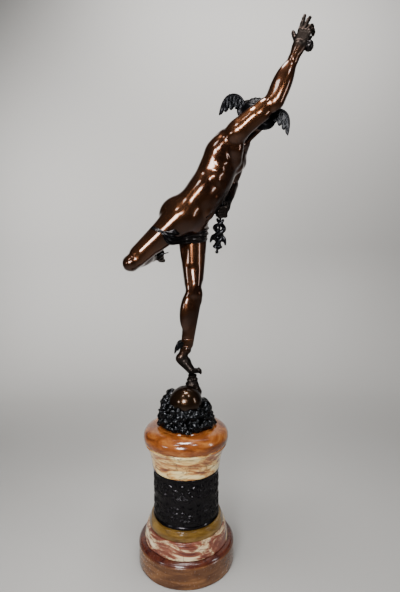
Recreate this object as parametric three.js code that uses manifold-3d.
// A bronze messenger god poised on one foot, on a rocky knoll and a turned stone plinth.
//
// Millimetres, +Z up. The origin is the centre of the plinth's underside. The figure leans and
// reaches towards +X, and -Y is the side that its raised arm is on.
//
// The stone plinth is a stack of turned pieces around a dark relief drum. The knoll, a boulder in
// a ring of rocks, stands on it. The figure is one casting: its flesh is a set of tapered muscles
// and round forms, given in hundredths of its own stature and blended where they meet.
import * as THREE from 'three';
import Module from 'manifold-3d';
import { mergeVertices } from 'three/addons/utils/BufferGeometryUtils.js';

// Driving dimensions
const STATURE = 430; // the figure's height, if it stood upright
const FIT_GAP = 0.3; // between pieces that rest on or in each other
const SLIVER = 0.15; // facets thinner than this are merged where solids are joined

const FOOT_DISC = { radius: 75, height: 37, bevel: 3.5 };
const VEINED_BAND = { radius: 66, topRadius: 60.5, height: 24, fillet: 3 };
const OLIVE_RING = { radius: 58.5, topRadius: 54.8, height: 13.3 };
const DRUM = { radius: 51.4, height: 77.3, rimHeight: 3.5, rimDepth: 1.2 };
const BELL = { radius: 52.2, topRadius: 63, height: 41.2, lip: 3 };
const CAP = { radius: 65.6, topRadius: 46.5, height: 24.7, edgeHeight: 8 };
const KNOLL = { radius: 44.5, skirtHeight: 38, taper: 0.14, boulderRadius: 25, boulderHeight: 38 };
const PERCH = { x: 10, radius: 7, height: 76.8 };
const BOULDER_Y = -11; // the boulder lies towards the front
const STUB = { depth: 26, footRadius: 14.7, waistRadius: 5.9 };
const STAFF = { length: 86, radius: 1.5, knob: 2.8, gripShare: 0.28 };
const SNAKE = { radius: 2.1, swing: 6.6, turns: 1.5, from: 0.48, to: 0.9 };
const STAFF_WING = { length: 13, thickness: 2, at: 0.78 };
const HAT_WING = { length: 34.4, thickness: 2.6 };
const ANKLE_WING = { length: 18, thickness: 1.9 };
const PURSE = { radius: 6.4, length: 19 };
const CLOTH = { halfWidth: 11, fold: 3.6, depth: 8 };

const ROUND = 32; // sides of the turned pieces
const U = STATURE / 100;

const wasm = await Module();
wasm.setup();
const { Manifold, Mesh } = wasm;

const v = (x, y, z) => new THREE.Vector3(x, y, z);
const mix = (a, b, t) => a + (b - a) * t;
const smooth = (t) => t * t * (3 - 2 * t);
const mixed = (p, q, t) => p.clone().lerp(q, t);

// Solids

function solidOf(geometry) {
  const bare = geometry.clone();
  bare.deleteAttribute('normal');
  bare.deleteAttribute('uv');
  const merged = mergeVertices(bare, 1e-4);
  return new Manifold(
    new Mesh({
      numProp: 3,
      vertProperties: new Float32Array(merged.attributes.position.array),
      triVerts: new Uint32Array(merged.index.array),
    }),
  );
}

function geometryOf(solid) {
  const mesh = solid.getMesh();
  const geometry = new THREE.BufferGeometry();
  geometry.setAttribute('position', new THREE.BufferAttribute(new Float32Array(mesh.vertProperties), 3));
  geometry.setIndex(new THREE.BufferAttribute(new Uint32Array(mesh.triVerts), 1));
  geometry.computeVertexNormals();
  return geometry;
}

// Solids joined into one, without the slivers that a join leaves.
const joined = (solids) => solids.reduce((all, one) => all.add(one)).asOriginal().simplify(SLIVER);

// A closed solid from rings of equally many points, with a point at each end.
function solidOfRings(first, rings, last) {
  const sides = rings[0].length;
  const points = [first, ...rings.flat(), last];
  const faces = [];
  const at = (ring, side) => 1 + ring * sides + (side % sides);
  for (let s = 0; s < sides; s++) {
    faces.push(0, at(0, s + 1), at(0, s));
    for (let r = 0; r + 1 < rings.length; r++) {
      faces.push(at(r, s), at(r, s + 1), at(r + 1, s + 1));
      faces.push(at(r, s), at(r + 1, s + 1), at(r + 1, s));
    }
    faces.push(at(rings.length - 1, s), at(rings.length - 1, s + 1), points.length - 1);
  }
  const geometry = new THREE.BufferGeometry().setFromPoints(points);
  geometry.setIndex(faces);
  return solidOf(geometry);
}

// Two directions square to `along`, the first as near to `hint` as it can be.
function across(along, hint) {
  const first = hint.clone().addScaledVector(along, -hint.dot(along)).normalize();
  return [first, along.clone().cross(first)];
}

// A round tube through points, with a radius at each, and rounded ends.
function tube(points, radii, sides) {
  const curve = new THREE.CatmullRomCurve3(points, false, 'centripetal');
  const rings = points.map((point, i) => {
    const along = curve.getTangent(i / (points.length - 1)).normalize();
    const [p, q] = across(along, Math.abs(along.z) < 0.8 ? v(0, 0, 1) : v(0, 1, 0));
    return Array.from({ length: sides }, (_, s) => {
      const angle = (2 * Math.PI * s) / sides;
      return point
        .clone()
        .addScaledVector(p, radii[i] * Math.cos(angle))
        .addScaledVector(q, radii[i] * Math.sin(angle));
    });
  });
  const end = points.length - 1;
  const start = points[0].clone().addScaledVector(curve.getTangent(0).normalize(), -0.7 * radii[0]);
  const finish = points[end].clone().addScaledVector(curve.getTangent(1).normalize(), 0.7 * radii[end]);
  return solidOfRings(start, rings, finish);
}

// Flesh

// A bone with its own directions: along, out to the limb's outer side, and front.
function bone(a, b, front, out) {
  const length = a.distanceTo(b);
  const along = b.clone().sub(a).normalize();
  const [forward, side] = across(along, front);
  if (side.dot(out) < 0) side.negate();
  return { a, b, length, along, out: side, front: forward };
}

// A place beside a bone: a share of its length, then out and front in hundredths of the stature.
function beside(on, share, out = 0, front = 0) {
  return on.a
    .clone()
    .addScaledVector(on.along, share * on.length)
    .addScaledVector(on.out, out * U)
    .addScaledVector(on.front, front * U);
}

// A tapered muscle between two places beside a bone, [share, out, front, radius] each.
function muscle(on, from, to, blend = 1) {
  const a = beside(on, ...from);
  const b = beside(on, ...to);
  const ab = b.clone().sub(a);
  const length2 = Math.max(ab.lengthSq(), 1e-9);
  return {
    blend: blend * U,
    distance(p) {
      const ap = p.clone().sub(a);
      const h = Math.min(1, Math.max(0, ap.dot(ab) / length2));
      return ap.addScaledVector(ab, -h).length() - mix(from[3], to[3], h) * U;
    },
  };
}

// An egg beside a bone, with its radii out, front and along.
function egg(on, at, radii, blend = 1.4) {
  const centre = beside(on, ...at);
  const [ro, rf, ra] = radii.map((r) => r * U);
  return {
    blend: blend * U,
    distance(p) {
      const d = p.clone().sub(centre);
      const x = d.dot(on.out);
      const y = d.dot(on.front);
      const z = d.dot(on.along);
      const k0 = Math.hypot(x / ro, y / rf, z / ra);
      const k1 = Math.hypot(x / ro ** 2, y / rf ** 2, z / ra ** 2);
      return k1 > 1e-9 ? (k0 * (k0 - 1)) / k1 : -Math.min(ro, rf, ra);
    },
  };
}

// The signed distance to several blended forms.
function depthIn(forms, p) {
  let d = Infinity;
  for (const form of forms) {
    const e = form.distance(p);
    const h = Math.max(form.blend - Math.abs(d - e), 0) / form.blend;
    d = Math.min(d, e) - (d === Infinity ? 0 : (h * h * form.blend) / 4);
  }
  return d;
}

// Where a ray that starts inside the flesh leaves it.
function leaves(forms, start, direction) {
  const p = start.clone();
  for (let step = 0; step < 60; step++) {
    const d = depthIn(forms, p);
    if (d > -0.02) break;
    p.addScaledVector(direction, Math.max(-d * 0.95, 0.03));
  }
  return p;
}

// A closed skin on flesh: rays cast out from a line inside it, ring by ring, with a dome at each end.
function skin(forms, line, sides, rings, hint) {
  const curve = new THREE.CatmullRomCurve3(line, false, 'centripetal');
  const ringAt = (t, lean) => {
    const along = curve.getTangentAt(t).normalize();
    const [p, q] = across(along, hint);
    return Array.from({ length: sides }, (_, s) => {
      const angle = (2 * Math.PI * s) / sides;
      const ray = p.clone().multiplyScalar(Math.cos(angle)).addScaledVector(q, Math.sin(angle));
      return leaves(forms, curve.getPointAt(t), ray.addScaledVector(along, lean).normalize());
    });
  };
  const tipAt = (t, sign) => leaves(forms, curve.getPointAt(t), curve.getTangentAt(t).setLength(sign));
  const found = Array.from({ length: rings }, (_, r) => ringAt(r / (rings - 1), 0));
  return solidOfRings(tipAt(0, -1), [ringAt(0, -1), ...found, ringAt(1, 1)], tipAt(1, 1));
}

// The plinth's levels, each piece on the one under it

const BAND_Z = FOOT_DISC.height + FIT_GAP;
const RING_Z = BAND_Z + VEINED_BAND.height + FIT_GAP;
const DRUM_Z = RING_Z + OLIVE_RING.height + FIT_GAP;
const BELL_Z = DRUM_Z + DRUM.height + FIT_GAP;
const CAP_Z = BELL_Z + BELL.height + FIT_GAP;
const KNOLL_Z = CAP_Z + CAP.height + FIT_GAP;
const PERCH_Z = KNOLL_Z + PERCH.height;

// The pose, in hundredths of the stature from under the ball of the standing foot

const STANCE = v(PERCH.x, 0, PERCH_Z + FIT_GAP);
const pose = (x, y, z) => v(x, y, z).multiplyScalar(U).add(STANCE);

const JOINT = {
  ballLeft: pose(-0.2, 0, 1.0),
  heelLeft: pose(-4.6, 1.0, 5.3),
  ankleLeft: pose(-2.1, 0.9, 8.8),
  kneeLeft: pose(0.4, 0.0, 29.6),
  hipLeft: pose(0.4, 3.0, 52.0),
  hipRight: pose(-3.2, -6.2, 55.4),
  kneeRight: pose(-20.0, -8.2, 40.0),
  ankleRight: pose(-13.2, 12.6, 42.2),
  loins: pose(-1.8, -1.7, 54.8),
  waist: pose(5.2, -2.0, 64.8),
  nape: pose(15.0, -0.3, 81.0),
  skull: pose(21.0, -2.0, 88.0),
  shoulderRight: pose(13.3, -8.3, 81.6),
  elbowRight: pose(26.0, -10.4, 90.7),
  wristRight: pose(32.6, -10.6, 106.0),
  shoulderLeft: pose(16.8, 8.2, 80.6),
  elbowLeft: pose(15.3, 15.4, 68.8),
  wristLeft: pose(12.0, 4.6, 59.8),
};

const PELVIS = bone(JOINT.loins, JOINT.waist, v(0.87, -0.48, -0.3), v(0.45, 0.87, 0));
const CHEST = bone(JOINT.waist, JOINT.nape, v(0.93, -0.32, -0.3), v(0.3, 0.95, 0));
const NECK = bone(JOINT.nape, JOINT.skull, v(0.9, -0.5, 0), v(0.4, 0.9, 0));
const HEAD = (() => {
  const front = v(0.28, 0.68, 0.67).normalize();
  const [left] = across(front, v(-0.92, 0, 0.38));
  const up = front.clone().cross(left);
  const base = JOINT.skull.clone();
  return { a: base, b: base.clone().addScaledVector(up, U), length: U, along: up, out: left, front };
})();
const THIGH_LEFT = bone(JOINT.hipLeft, JOINT.kneeLeft, v(1, -0.15, 0), v(0, 1, 0));
const SHIN_LEFT = bone(JOINT.kneeLeft, JOINT.ankleLeft, v(1, -0.1, 0), v(0, 1, 0));
const THIGH_RIGHT = bone(JOINT.hipRight, JOINT.kneeRight, v(-0.07, -0.98, 0.16), v(-0.66, 0.17, 0.73));
const SHIN_RIGHT = bone(JOINT.kneeRight, JOINT.ankleRight, v(-0.68, 0.28, -0.68), v(-0.66, 0.17, 0.73));
const UPPER_RIGHT = bone(JOINT.shoulderRight, JOINT.elbowRight, v(-0.44, 0.28, 0.85), v(0, -1, 0));
const FORE_RIGHT = bone(JOINT.elbowRight, JOINT.wristRight, v(-0.7, 0.6, 0.2), v(0.3, -1, 0));
const UPPER_LEFT = bone(JOINT.shoulderLeft, JOINT.elbowLeft, v(-0.3, -1, 0), v(0.6, 1, 0));
const FORE_LEFT = bone(JOINT.elbowLeft, JOINT.wristLeft, v(0.6, -0.6, 0), v(0.6, 0.6, 0.3));

// Muscles, mirrored between left and right by each bone's own directions

const thighForms = (on) => [
  muscle(on, [-0.02, -0.2, 0, 4.6], [1, 0, 0, 2.5]),
  muscle(on, [0.06, 0.4, 1.5, 3.3], [0.78, 0.3, 0.9, 2.5]),
  muscle(on, [0.2, 1.7, 0.4, 3.0], [0.84, 1.2, 0.4, 1.8]),
  muscle(on, [0.6, -1.3, 1.0, 1.9], [0.9, -1.2, 0.9, 1.7], 0.7),
  muscle(on, [0.05, 0.2, -2.0, 3.6], [0.85, 0.3, -0.7, 1.9]),
  muscle(on, [0.02, -1.7, 0.1, 3.6], [0.55, -1.3, 0, 2.3]),
  muscle(on, [0.98, 0, 1.3, 1.5], [1.06, 0, 1.2, 1.4], 0.6),
];

const shinForms = (on) => [
  muscle(on, [-0.03, 0, 0, 2.5], [0.99, 0, 0, 1.4]),
  muscle(on, [0.04, 0, 1.3, 2.0], [0.9, -0.1, 0.8, 1.4], 0.7),
  egg(on, [0.32, -1.0, -1.7], [2.0, 2.2, 6.6], 1.2),
  egg(on, [0.29, 1.0, -1.6], [1.9, 2.1, 6.0], 1.2),
  muscle(on, [0.3, 0, -0.8, 2.5], [0.74, 0, -0.6, 1.4]),
  muscle(on, [0.7, 0, -1.0, 0.9], [1.03, 0, -1.5, 0.8], 0.7),
  muscle(on, [0.97, -1.2, 0.1, 0.75], [1.0, -1.2, 0.1, 0.75], 0.5),
  muscle(on, [0.98, 1.2, -0.1, 0.7], [1.01, 1.2, -0.1, 0.7], 0.5),
];

const upperArmForms = (on) => [
  muscle(on, [-0.02, 0, 0, 2.9], [1, 0, 0, 2.0]),
  muscle(on, [-0.04, 0.6, 0, 2.9], [0.4, 0.8, 0, 1.9]),
  muscle(on, [0.3, 0, 1.0, 1.9], [0.74, 0, 1.2, 1.9], 0.8),
  muscle(on, [0.15, 0, -1.1, 2.1], [0.74, 0, -0.9, 1.8], 0.8),
];

const foreArmForms = (on) => [
  muscle(on, [-0.02, 0, 0, 2.4], [1.02, 0, 0, 1.45]),
  egg(on, [0.24, 0.9, 0.9], [2.2, 2.2, 7.4], 1.4),
  egg(on, [0.22, 0.4, -1.1], [2.1, 2.0, 7.0], 1.4),
  egg(on, [0.26, -1.1, 0.2], [2.1, 2.2, 7.4], 1.4),
  muscle(on, [0.8, 0.5, 0, 1.15], [1.05, 0.6, 0, 1.05], 0.8),
  muscle(on, [0.8, -0.5, 0, 1.15], [1.05, -0.6, 0, 1.05], 0.8),
];

const torsoForms = [
  egg(PELVIS, [0.02, 0, 0.9], [8.2, 5.8, 5.8], 2),
  egg(PELVIS, [0.66, 0, 1.2], [7.2, 5.7, 6.8], 2),
  egg(CHEST, [0.16, 0, 0.9], [7.2, 5.7, 7.2], 2),
  egg(CHEST, [0.56, 0, -0.5], [8.0, 6.0, 8.4], 2),
  muscle(CHEST, [0.84, -4.8, -0.2, 3.4], [0.84, 4.8, -0.2, 3.4], 1.6),
  muscle(CHEST, [0.66, -3.1, 3.3, 2.3], [0.76, -5.4, 2.2, 2.1], 1.2),
  muscle(CHEST, [0.66, 3.1, 3.3, 2.3], [0.76, 5.4, 2.2, 2.1], 1.2),
  muscle(CHEST, [0.68, -6.4, -1.8, 2.5], [0.1, -3.8, -2.6, 1.9], 1.4),
  muscle(CHEST, [0.68, 6.4, -1.8, 2.5], [0.1, 3.8, -2.6, 1.9], 1.4),
  muscle(CHEST, [0.98, -1.2, -1.2, 2.2], [0.86, -5.6, -1.4, 2.2], 1.4),
  muscle(CHEST, [0.98, 1.2, -1.2, 2.2], [0.86, 5.6, -1.4, 2.2], 1.4),
  muscle(CHEST, [1.02, 0.5, 2.2, 2.6], [0.86, 5.2, 1.4, 2.8], 1.2),
  egg(PELVIS, [-0.2, 3.3, -2.2], [4.1, 3.9, 4.6], 1.2),
  egg(PELVIS, [-0.08, -3.9, -3.5], [4.7, 4.2, 5.6], 1.2),
];

const neckForms = [muscle(NECK, [-0.3, 0, -0.4, 3.1], [0.9, 0, 0, 2.7])];

const headForms = [
  egg(HEAD, [1.2, 0, -0.4], [4.1, 4.9, 4.6], 1.2),
  egg(HEAD, [-1.8, 0, 1.0], [3.2, 3.5, 4.2], 1.2),
  muscle(HEAD, [-4.4, 0, 2.4, 1.6], [-5.0, 0, 3.2, 1.1], 1),
  muscle(HEAD, [0.5, 0, 4.3, 0.5], [-1.5, 0, 5.2, 0.6], 0.5),
  egg(HEAD, [-1.0, 0, -2.6], [4.2, 3.0, 4.0], 1.2),
];

// Limbs

function legSolids(thigh, shin) {
  const thighLine = [beside(thigh, -0.02), beside(thigh, 0.5), beside(thigh, 1.0)];
  const shinLine = [beside(shin, -0.06), beside(shin, 0.5, 0, -0.4), beside(shin, 1.04)];
  return [
    skin(thighForms(thigh), thighLine, 11, 6, thigh.front),
    skin([...shinForms(shin), thighForms(thigh).at(-1)], shinLine, 9, 8, shin.front),
  ];
}

function armSolids(upper, fore) {
  const upperLine = [beside(upper, -0.02), beside(upper, 0.5), beside(upper, 1.0)];
  const foreLine = [beside(fore, -0.02), beside(fore, 0.5), beside(fore, 1.04)];
  return [
    skin(upperArmForms(upper), upperLine, 8, 5, upper.front),
    skin(foreArmForms(fore), foreLine, 8, 5, fore.front),
  ];
}

// A foot from its ankle: `heel` and `ball` are places, `toes` the way that the toes point.
function footSolids(ankle, heel, ball, toes, out) {
  const on = bone(heel, ball, toes, out);
  const up = on.front.clone();
  if (up.dot(ankle.clone().sub(heel)) < 0) up.negate();
  on.front = up;
  const forms = [
    muscle(on, [0, 0, 0.3, 1.6], [0.35, 0, 0.9, 1.7]),
    muscle(on, [0.3, 0, 1.1, 1.6], [0.85, -0.4, 0.3, 1.2]),
    muscle(on, [0.2, 0.5, 0.2, 1.3], [0.95, 1.0, -0.1, 0.95]),
    muscle(on, [0.5, -0.8, 0.3, 1.2], [1.0, -1.0, 0, 1.1]),
    muscle(bone(ankle, heel, toes, out), [0, 0, 0.2, 1.5], [0.7, 0, 0, 1.5]),
  ];
  const line = [beside(on, 0.02, 0, 0.3), beside(on, 0.5, 0, 0.6), beside(on, 1.02, 0, 0.1)];
  const body = skin(forms, line, 7, 4, up);
  const widest = 1.7;
  const digits = [0, 1, 2, 3, 4].map((i) => {
    const spread = mix(-widest, widest, i / 4) * 0.86;
    const length = (i === 0 ? 2.9 : 2.7 - 0.35 * i) * U;
    const radius = (i === 0 ? 0.78 : 0.55 - 0.02 * i) * U;
    const root = beside(on, 0.93, spread, -0.05);
    const knuckle = root.clone().addScaledVector(toes, length * 0.5).addScaledVector(up, 0.12 * U);
    const tip = root.clone().addScaledVector(toes, length);
    return tube([root, knuckle, tip], [radius, radius, radius * 0.85], 4);
  });
  const cord = tube([ankle, mixed(ankle, heel, 0.7)], [1.6 * U, 1.6 * U], 6);
  return [body, cord, ...digits];
}

// A hand: its palm's bone runs from wrist to knuckles, its front is the palm's hollow side and its
// out side is the thumb's. Each finger bends towards the palm by `curl` at each joint, in degrees.
function handSolids(palm, curls, thumbCurl) {
  const forms = [0, 1, 2, 3].map((i) => {
    const out = mix(1.5, -1.6, i / 3);
    return muscle(palm, [-0.05, out * 0.55, 0, 0.95], [1, out, 0, 0.72], 0.5);
  });
  forms.push(muscle(palm, [0.1, 1.1, 0.4, 0.9], [0.55, 1.8, 0.6, 0.75], 0.6));
  const solids = [skin(forms, [beside(palm, 0), beside(palm, 0.5), beside(palm, 0.98)], 7, 3, palm.front)];
  const reach = [5.0, 5.5, 5.1, 4.1];
  const parts = [0.48, 0.3, 0.22];
  const finger = (root, along, towards, length, radius, curl) => {
    const points = [root];
    const radii = [radius];
    let direction = along.clone();
    const axis = along.clone().cross(towards).normalize();
    for (const share of parts) {
      direction = direction.clone().applyAxisAngle(axis, THREE.MathUtils.degToRad(curl));
      points.push(points.at(-1).clone().addScaledVector(direction, length * share));
      radii.push(radii.at(-1) * 0.9);
    }
    return tube(points, radii, 5);
  };
  curls.forEach((curl, i) => {
    const out = mix(1.5, -1.6, i / 3);
    const along = palm.along.clone().addScaledVector(palm.out, mix(0.1, -0.14, i / 3)).normalize();
    solids.push(finger(beside(palm, 0.97, out, 0), along, palm.front, reach[i] * U, 0.62 * U, curl));
  });
  const thumbWay = palm.along.clone().addScaledVector(palm.out, 0.55).addScaledVector(palm.front, 0.4);
  const thumbRoot = beside(palm, 0.5, 1.8, 0.5);
  solids.push(finger(thumbRoot, thumbWay.normalize(), palm.front, 4.4 * U, 0.7 * U, thumbCurl));
  return solids;
}

// A small wing: a flat leaf of scalloped feathers that arches away from its root.
function wing(root, way, over, { length, thickness }) {
  const shape = new THREE.Shape();
  const feathers = 5;
  shape.moveTo(0, -0.16);
  shape.bezierCurveTo(0.06, 0.22, 0.3, 0.42, 0.56, 0.36);
  shape.bezierCurveTo(0.86, 0.3, 1.0, -0.02, 0.98, -0.62);
  const tipX = 0.98;
  const tipY = -0.62;
  for (let i = 1; i <= feathers; i++) {
    const t = i / feathers;
    const x = mix(tipX, 0.02, t);
    const y = mix(tipY, -0.2, Math.pow(t, 0.7));
    const back = mix(tipX, 0.02, t - 1 / feathers);
    shape.quadraticCurveTo(mix(back, x, 0.6), y - 0.16, x, i === feathers ? -0.16 : y + 0.06);
  }
  const options = { depth: thickness, bevelEnabled: false, curveSegments: 3 };
  const geometry = new THREE.ExtrudeGeometry(shape, options);
  geometry.translate(0, 0, -thickness / 2);
  geometry.scale(length, length, 1);
  const [up, side] = across(way, over);
  const frame = new THREE.Matrix4().makeBasis(way, up, side).setPosition(root);
  geometry.applyMatrix4(frame);
  return solidOf(geometry);
}

function headSolids() {
  const headLine = [beside(HEAD, -4.4, 0, 1.2), beside(HEAD, -1), beside(HEAD, 3.6, 0, -0.4)];
  const solids = [
    skin(headForms, headLine, 11, 6, HEAD.front),
    skin(neckForms, [beside(NECK, -0.1), beside(NECK, 0.8)], 8, 2, NECK.front),
  ];
  const hat = new THREE.LatheGeometry(
    [
      [0, 0],
      [5.2, -0.2],
      [6.6, -0.5],
      [6.7, 0.1],
      [5.4, 0.9],
      [4.7, 2.3],
      [3.4, 3.7],
      [0, 4.6],
    ].map(([x, y]) => new THREE.Vector2(x * U, y * U)),
    14,
  );
  const seat = beside(HEAD, 1.5, 0, -0.5);
  const tilt = HEAD.along.clone().addScaledVector(HEAD.front, -0.16).normalize();
  const [front, side] = across(tilt, HEAD.front);
  hat.applyMatrix4(new THREE.Matrix4().makeBasis(front, tilt, side.negate()).setPosition(seat));
  solids.push(solidOf(hat));
  for (const sign of [-1, 1]) {
    const way = HEAD.out.clone().multiplyScalar(sign).add(v(0, -0.1, -0.2 * sign)).normalize();
    solids.push(wing(beside(HEAD, 2.3, sign * 4.0 + 0.5, -0.4), way, v(0, 0, 1), HAT_WING));
  }
  return solids;
}

// Two wings at an ankle, one on each side of the heel cord.
function ankleWings(shin) {
  return [-1, 1].map((sign) => {
    const root = beside(shin, 0.93, sign * 0.5, -0.4);
    const way = shin.front.clone().negate().addScaledVector(shin.along, 0.1);
    way.addScaledVector(shin.out, sign * 0.5).normalize();
    return wing(root, way, shin.along.clone().negate(), ANKLE_WING);
  });
}

// A loincloth: a folded band from round the raised thigh, over the groin, to the far hip. Its inner
// edge lies inside the flesh.
function clothSolid() {
  const body = [...torsoForms, ...thighForms(THIGH_RIGHT), ...thighForms(THIGH_LEFT)];
  const inner = THIGH_RIGHT.out.clone().negate();
  const route = [
    [beside(THIGH_RIGHT, 0.46), THIGH_RIGHT.out.clone()],
    [beside(THIGH_RIGHT, 0.44), THIGH_RIGHT.out.clone().add(THIGH_RIGHT.front)],
    [beside(THIGH_RIGHT, 0.4), THIGH_RIGHT.front.clone()],
    [beside(THIGH_RIGHT, 0.34), inner.clone().addScaledVector(THIGH_RIGHT.front, 0.9)],
    [beside(PELVIS, -0.46, -1.5), v(0.75, -0.45, -0.4)],
    [beside(PELVIS, -0.44, 1.0), v(1, -0.15, -0.1)],
    [beside(PELVIS, -0.28, 3.5), v(1, 0.5, 0)],
    [beside(PELVIS, -0.08, 4.5), v(0.35, 1, 0.2)],
  ];
  const ways = route.map(([, way]) => way.normalize());
  const places = route.map(([from, way]) => leaves(body, from, way));
  const line = new THREE.CatmullRomCurve3(places, false, 'centripetal');
  const facing = new THREE.CatmullRomCurve3(ways, false, 'centripetal');
  // Across the band: [share of the half width, share of the fold height]
  const folds = [[-1, 0], [-0.72, 0.9], [-0.44, 0.3], [-0.1, 1], [0.2, 0.35], [0.6, 0.85], [1, 0]];
  const rings = [];
  for (let i = 0; i < route.length; i++) {
    const t = i / (route.length - 1);
    const along = line.getTangent(t).normalize();
    const [out, width] = across(along, facing.getPoint(t).normalize());
    const fullness = 0.35 + 0.65 * Math.sin(Math.PI * Math.min(1, 0.08 + t));
    const half = CLOTH.halfWidth * fullness;
    const at = line.getPoint(t);
    const place = (w, h) => at.clone().addScaledVector(width, w * half).addScaledVector(out, h);
    const crest = folds.map(([w, h]) => place(w, h * CLOTH.fold * fullness));
    rings.push([place(-1, -CLOTH.depth), ...crest, place(1, -CLOTH.depth)]);
  }
  const end = rings.length - 1;
  const centre = (ring) => ring.reduce((sum, point) => sum.add(point), v(0, 0, 0)).divideScalar(ring.length);
  return solidOfRings(centre(rings[0]), rings, centre(rings[end]));
}

function purseSolid(hang) {
  const profile = [
    [0, 0],
    [0.62, 0.05],
    [1.0, 0.3],
    [0.86, 0.58],
    [0.36, 0.76],
    [0.6, 0.92],
    [0.3, 1.0],
    [0, 1.0],
  ].map(([x, y]) => new THREE.Vector2(x * PURSE.radius, (y - 1) * PURSE.length));
  const geometry = new THREE.LatheGeometry(profile, 12);
  geometry.rotateX(Math.PI / 2);
  geometry.translate(hang.x, hang.y, hang.z);
  return solidOf(geometry);
}

const PALM_RIGHT = bone(
  JOINT.wristRight,
  JOINT.wristRight.clone().add(v(0.36, 0.0, 0.93).setLength(5.6 * U)),
  v(0.45, 0.88, 0),
  v(-0.95, 0.3, 0),
);
const PALM_LEFT = bone(
  JOINT.wristLeft,
  JOINT.wristLeft.clone().add(v(-0.1, -0.86, -0.5).setLength(4.8 * U)),
  v(-1, 0, 0),
  v(0, 0, 1),
);

function figureSolid() {
  const { ankleLeft, heelLeft, ballLeft, ankleRight } = JOINT;
  const standing = footSolids(ankleLeft, heelLeft, ballLeft, v(0.97, 0.15, -0.1).normalize(), v(0, 1, 0));
  const footWay = SHIN_RIGHT.along.clone().addScaledVector(SHIN_RIGHT.front, 0.35).normalize();
  const heelRight = beside(SHIN_RIGHT, 1.06, 0, -1.6);
  const ballRight = ankleRight.clone().addScaledVector(footWay, 8.2 * U);
  const toesRight = footWay.clone().addScaledVector(SHIN_RIGHT.along, 0.3).normalize();
  const swinging = footSolids(ankleRight, heelRight, ballRight, toesRight, SHIN_RIGHT.out);
  const hips = [beside(PELVIS, -0.3), beside(PELVIS, 0.4)];
  const ribs = [beside(CHEST, 0.1), beside(CHEST, 0.6), beside(CHEST, 0.98)];
  return joined([
    skin(torsoForms, [...hips, ...ribs], 16, 10, PELVIS.front),
    ...legSolids(THIGH_LEFT, SHIN_LEFT),
    ...legSolids(THIGH_RIGHT, SHIN_RIGHT),
    ...armSolids(UPPER_RIGHT, FORE_RIGHT),
    ...armSolids(UPPER_LEFT, FORE_LEFT),
    ...standing,
    ...swinging,
    ...headSolids(),
    ...handSolids(PALM_RIGHT, [6, 16, 46, 60], 12),
    ...handSolids(PALM_LEFT, [62, 64, 66, 66], 40),
    ...ankleWings(SHIN_LEFT),
    ...ankleWings(SHIN_RIGHT),
    clothSolid(),
    purseSolid(beside(PALM_RIGHT, 0.82, -1.7, 0.6)),
  ]);
}

// The herald's staff in the left hand, head down, with two snakes and a pair of small wings

const STAFF_WAY = v(-0.08, 0.22, -0.97).normalize();
const GRIP = beside(PALM_LEFT, 1.02, 0.1, 1.5);
const alongStaff = (share) =>
  GRIP.clone().addScaledVector(STAFF_WAY, (share - STAFF.gripShare) * STAFF.length);

const shaftSolid = (radius) => tube([alongStaff(0), alongStaff(0.97)], [radius, radius], 8);

function staffSolid() {
  const knob = new THREE.SphereGeometry(STAFF.knob, 8, 5).translate(...alongStaff(1).toArray());
  const solids = [shaftSolid(STAFF.radius), solidOf(knob)];
  const [side, fore] = across(STAFF_WAY, v(1, -0.6, 0));
  const steps = 10;
  for (const sign of [-1, 1]) {
    const points = [];
    const radii = [];
    for (let i = 0; i <= steps; i++) {
      const t = i / steps;
      const angle = Math.PI * 2 * SNAKE.turns * t;
      const swing = SNAKE.swing * (0.35 + 0.65 * Math.sin(Math.PI * Math.min(1, 0.15 + t)));
      points.push(
        alongStaff(mix(SNAKE.from, SNAKE.to, t))
          .addScaledVector(side, sign * swing * Math.cos(angle))
          .addScaledVector(fore, sign * swing * 0.55 * Math.sin(angle)),
      );
      radii.push(SNAKE.radius * mix(0.5, 1, smooth(Math.min(1, t * 3))));
    }
    solids.push(tube(points, radii, 5));
    const way = side.clone().multiplyScalar(sign);
    solids.push(wing(alongStaff(STAFF_WING.at), way, STAFF_WAY.clone().negate(), STAFF_WING));
  }
  return joined(solids);
}

// The knoll: a boulder in a skirt of rocks, with a stub that the figure's foot stands on

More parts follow.
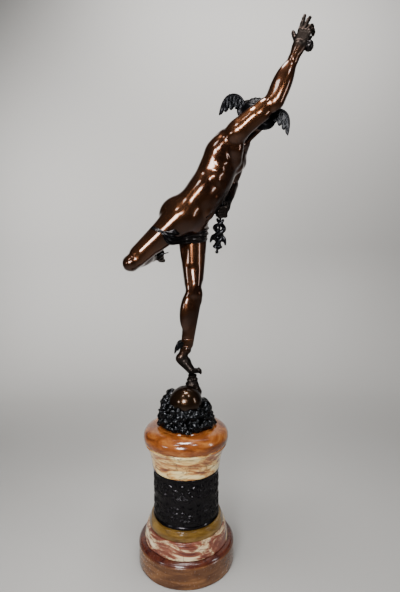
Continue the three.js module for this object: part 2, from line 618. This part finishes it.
function knollSolid() {
  const rings = 4;
  const sides = 22;
  const lump = (angle, level) =>
    0.05 * Math.sin(5 * angle + 1.3) +
    0.035 * Math.sin(9 * angle + 4 * level) +
    0.03 * Math.sin(14 * angle - 6 * level);
  const brim = (angle) => 1 - 0.1 * Math.cos(angle) - 0.06 * Math.sin(3 * angle);
  const skirt = [];
  for (let r = 0; r < rings; r++) {
    const level = r / (rings - 1);
    skirt.push(
      Array.from({ length: sides }, (_, s) => {
        const angle = (2 * Math.PI * s) / sides;
        const rough = r === 0 ? 0 : lump(angle, level);
        const radius = KNOLL.radius * (1 - KNOLL.taper * level) * (1 + rough);
        const z = KNOLL_Z + KNOLL.skirtHeight * level * brim(angle);
        return v(radius * Math.cos(angle), radius * Math.sin(angle), z);
      }),
    );
  }
  const floor = v(0, 0, KNOLL_Z);
  const solids = [solidOfRings(floor, skirt, v(0, 0, KNOLL_Z + KNOLL.skirtHeight))];
  const boulder = new THREE.SphereGeometry(KNOLL.boulderRadius, 12, 8);
  solids.push(solidOf(boulder.translate(0, BOULDER_Y, KNOLL_Z + KNOLL.boulderHeight)));
  const rocks = 7;
  for (let i = 0; i < rocks; i++) {
    const angle = (2 * Math.PI * (i + 0.3 * Math.sin(3 * i))) / rocks;
    const size = KNOLL.radius * (0.23 + 0.04 * Math.sin(5 * i));
    const rock = new THREE.IcosahedronGeometry(size, 1).rotateX(i).rotateZ(2 * i);
    const reach = KNOLL.radius * 0.64;
    const level = 0.86 - 0.14 * Math.cos(angle) + 0.06 * Math.sin(4 * i);
    rock.translate(reach * Math.cos(angle), reach * Math.sin(angle), KNOLL_Z + KNOLL.skirtHeight * level);
    solids.push(solidOf(rock));
  }
  const stub = new THREE.LatheGeometry(
    [
      [0, -STUB.depth],
      [STUB.footRadius, -STUB.depth],
      [mix(STUB.waistRadius, STUB.footRadius, 0.36), -STUB.depth * 0.58],
      [STUB.waistRadius, -STUB.depth * 0.3],
      [STUB.waistRadius, -STUB.depth * 0.12],
      [PERCH.radius, 0],
      [0, 0],
    ].map(([x, y]) => new THREE.Vector2(x, y)),
    12,
  );
  stub.rotateX(Math.PI / 2).translate(PERCH.x, 0, PERCH_Z);
  solids.push(solidOf(stub));
  return joined(solids);
}

// The turned pieces of the plinth, each from its profile of [radius, height]

function turned(profile, z) {
  const points = profile.map(([r, h]) => new THREE.Vector2(r, h));
  return new THREE.LatheGeometry(points, ROUND).rotateX(Math.PI / 2).translate(0, 0, z);
}

// Points of a moulding from one [radius, height] to another, in equal rises. `turn` above 1 keeps
// to the first radius for longer.
function moulding(from, to, steps, turn) {
  return Array.from({ length: steps + 1 }, (_, i) => {
    const t = i / steps;
    return [mix(from[0], to[0], Math.pow(t, turn)), mix(from[1], to[1], t)];
  });
}

function footDisc() {
  const { radius, height, bevel } = FOOT_DISC;
  const profile = [
    [0, 0],
    [radius - 1, 0],
    [radius, 1],
    ...moulding([radius - 0.5, height - bevel], [radius - bevel, height], 2, 2),
    [0, height],
  ];
  return turned(profile, 0);
}

function veinedBand() {
  const { radius, topRadius, height, fillet } = VEINED_BAND;
  const profile = [
    [0, 0],
    [radius, 0],
    [radius, 2],
    [topRadius + 1.5, height - fillet - 1],
    [topRadius, height - fillet],
    [topRadius, height],
    [0, height],
  ];
  return turned(profile, BAND_Z);
}

function oliveRing() {
  const { radius, topRadius, height } = OLIVE_RING;
  return turned([[0, 0], ...moulding([radius, 0], [topRadius, height], 4, 1.8), [0, height]], RING_Z);
}

function reliefDrum() {
  const { radius, height, rimHeight, rimDepth } = DRUM;
  const field = radius - rimDepth;
  const profile = [
    [0, 0],
    [radius, 0],
    [radius, rimHeight],
    [field, rimHeight + rimDepth],
    [field, height - rimHeight - rimDepth],
    [radius, height - rimHeight],
    [radius, height],
    [0, height],
  ];
  return turned(profile, DRUM_Z);
}

function veinedBell() {
  const { radius, topRadius, height, lip } = BELL;
  const profile = [
    [0, 0],
    [radius, 0],
    ...moulding([radius + 0.8, lip], [topRadius, height - lip], 4, 1.7),
    [topRadius + 1, height - lip / 2],
    [topRadius, height],
    [0, height],
  ];
  return turned(profile, BELL_Z);
}

function onyxCap() {
  const { radius, topRadius, height, edgeHeight } = CAP;
  const profile = [
    [0, 0],
    [radius - 2.5, 0],
    [radius - 0.6, edgeHeight * 0.4],
    [radius, edgeHeight],
    [radius - 2, edgeHeight + 4],
    [mix(radius, topRadius, 0.4), mix(edgeHeight, height, 0.62)],
    [mix(radius, topRadius, 0.75), mix(edgeHeight, height, 0.88)],
    [topRadius, height],
    [0, height],
  ];
  return turned(profile, CAP_Z);
}

// Materials

const stone = (name, color, roughness) => {
  const made = new THREE.MeshStandardMaterial({ color, roughness, metalness: 0 });
  made.name = name;
  return made;
};
const bronze = (name, color, roughness) => {
  const made = new THREE.MeshStandardMaterial({ color, roughness, metalness: 0.85 });
  made.name = name;
  return made;
};

const BROWN_MARBLE = stone('brown_marble', 0x7a4a30, 0.25);
const VEINED_MARBLE = stone('veined_marble', 0xd9c4a4, 0.25);
const OLIVE_ONYX = stone('olive_onyx', 0x6f5526, 0.22);
const AMBER_ONYX = stone('amber_onyx', 0xa8622c, 0.2);
const BROWN_BRONZE = bronze('brown_bronze', 0x3a2114, 0.25);
const DARK_BRONZE = bronze('dark_bronze', 0x17151a, 0.4);

const statuette = new THREE.Group();

function piece(name, geometry, material) {
  const mesh = new THREE.Mesh(geometry, material);
  mesh.name = name;
  statuette.add(mesh);
}

// The staff's shaft lies in a groove of the hand, with a little clearance.
const figure = figureSolid().subtract(shaftSolid(STAFF.radius + FIT_GAP));

piece('foot_disc', footDisc(), BROWN_MARBLE);
piece('veined_band', veinedBand(), VEINED_MARBLE);
piece('olive_ring', oliveRing(), OLIVE_ONYX);
piece('relief_drum', reliefDrum(), DARK_BRONZE);
piece('veined_bell', veinedBell(), VEINED_MARBLE);
piece('onyx_cap', onyxCap(), AMBER_ONYX);
piece('rocky_knoll', geometryOf(knollSolid()), DARK_BRONZE);
piece('messenger_figure', geometryOf(figure), BROWN_BRONZE);
piece('herald_staff', geometryOf(staffSolid()), DARK_BRONZE);

export default statuette;
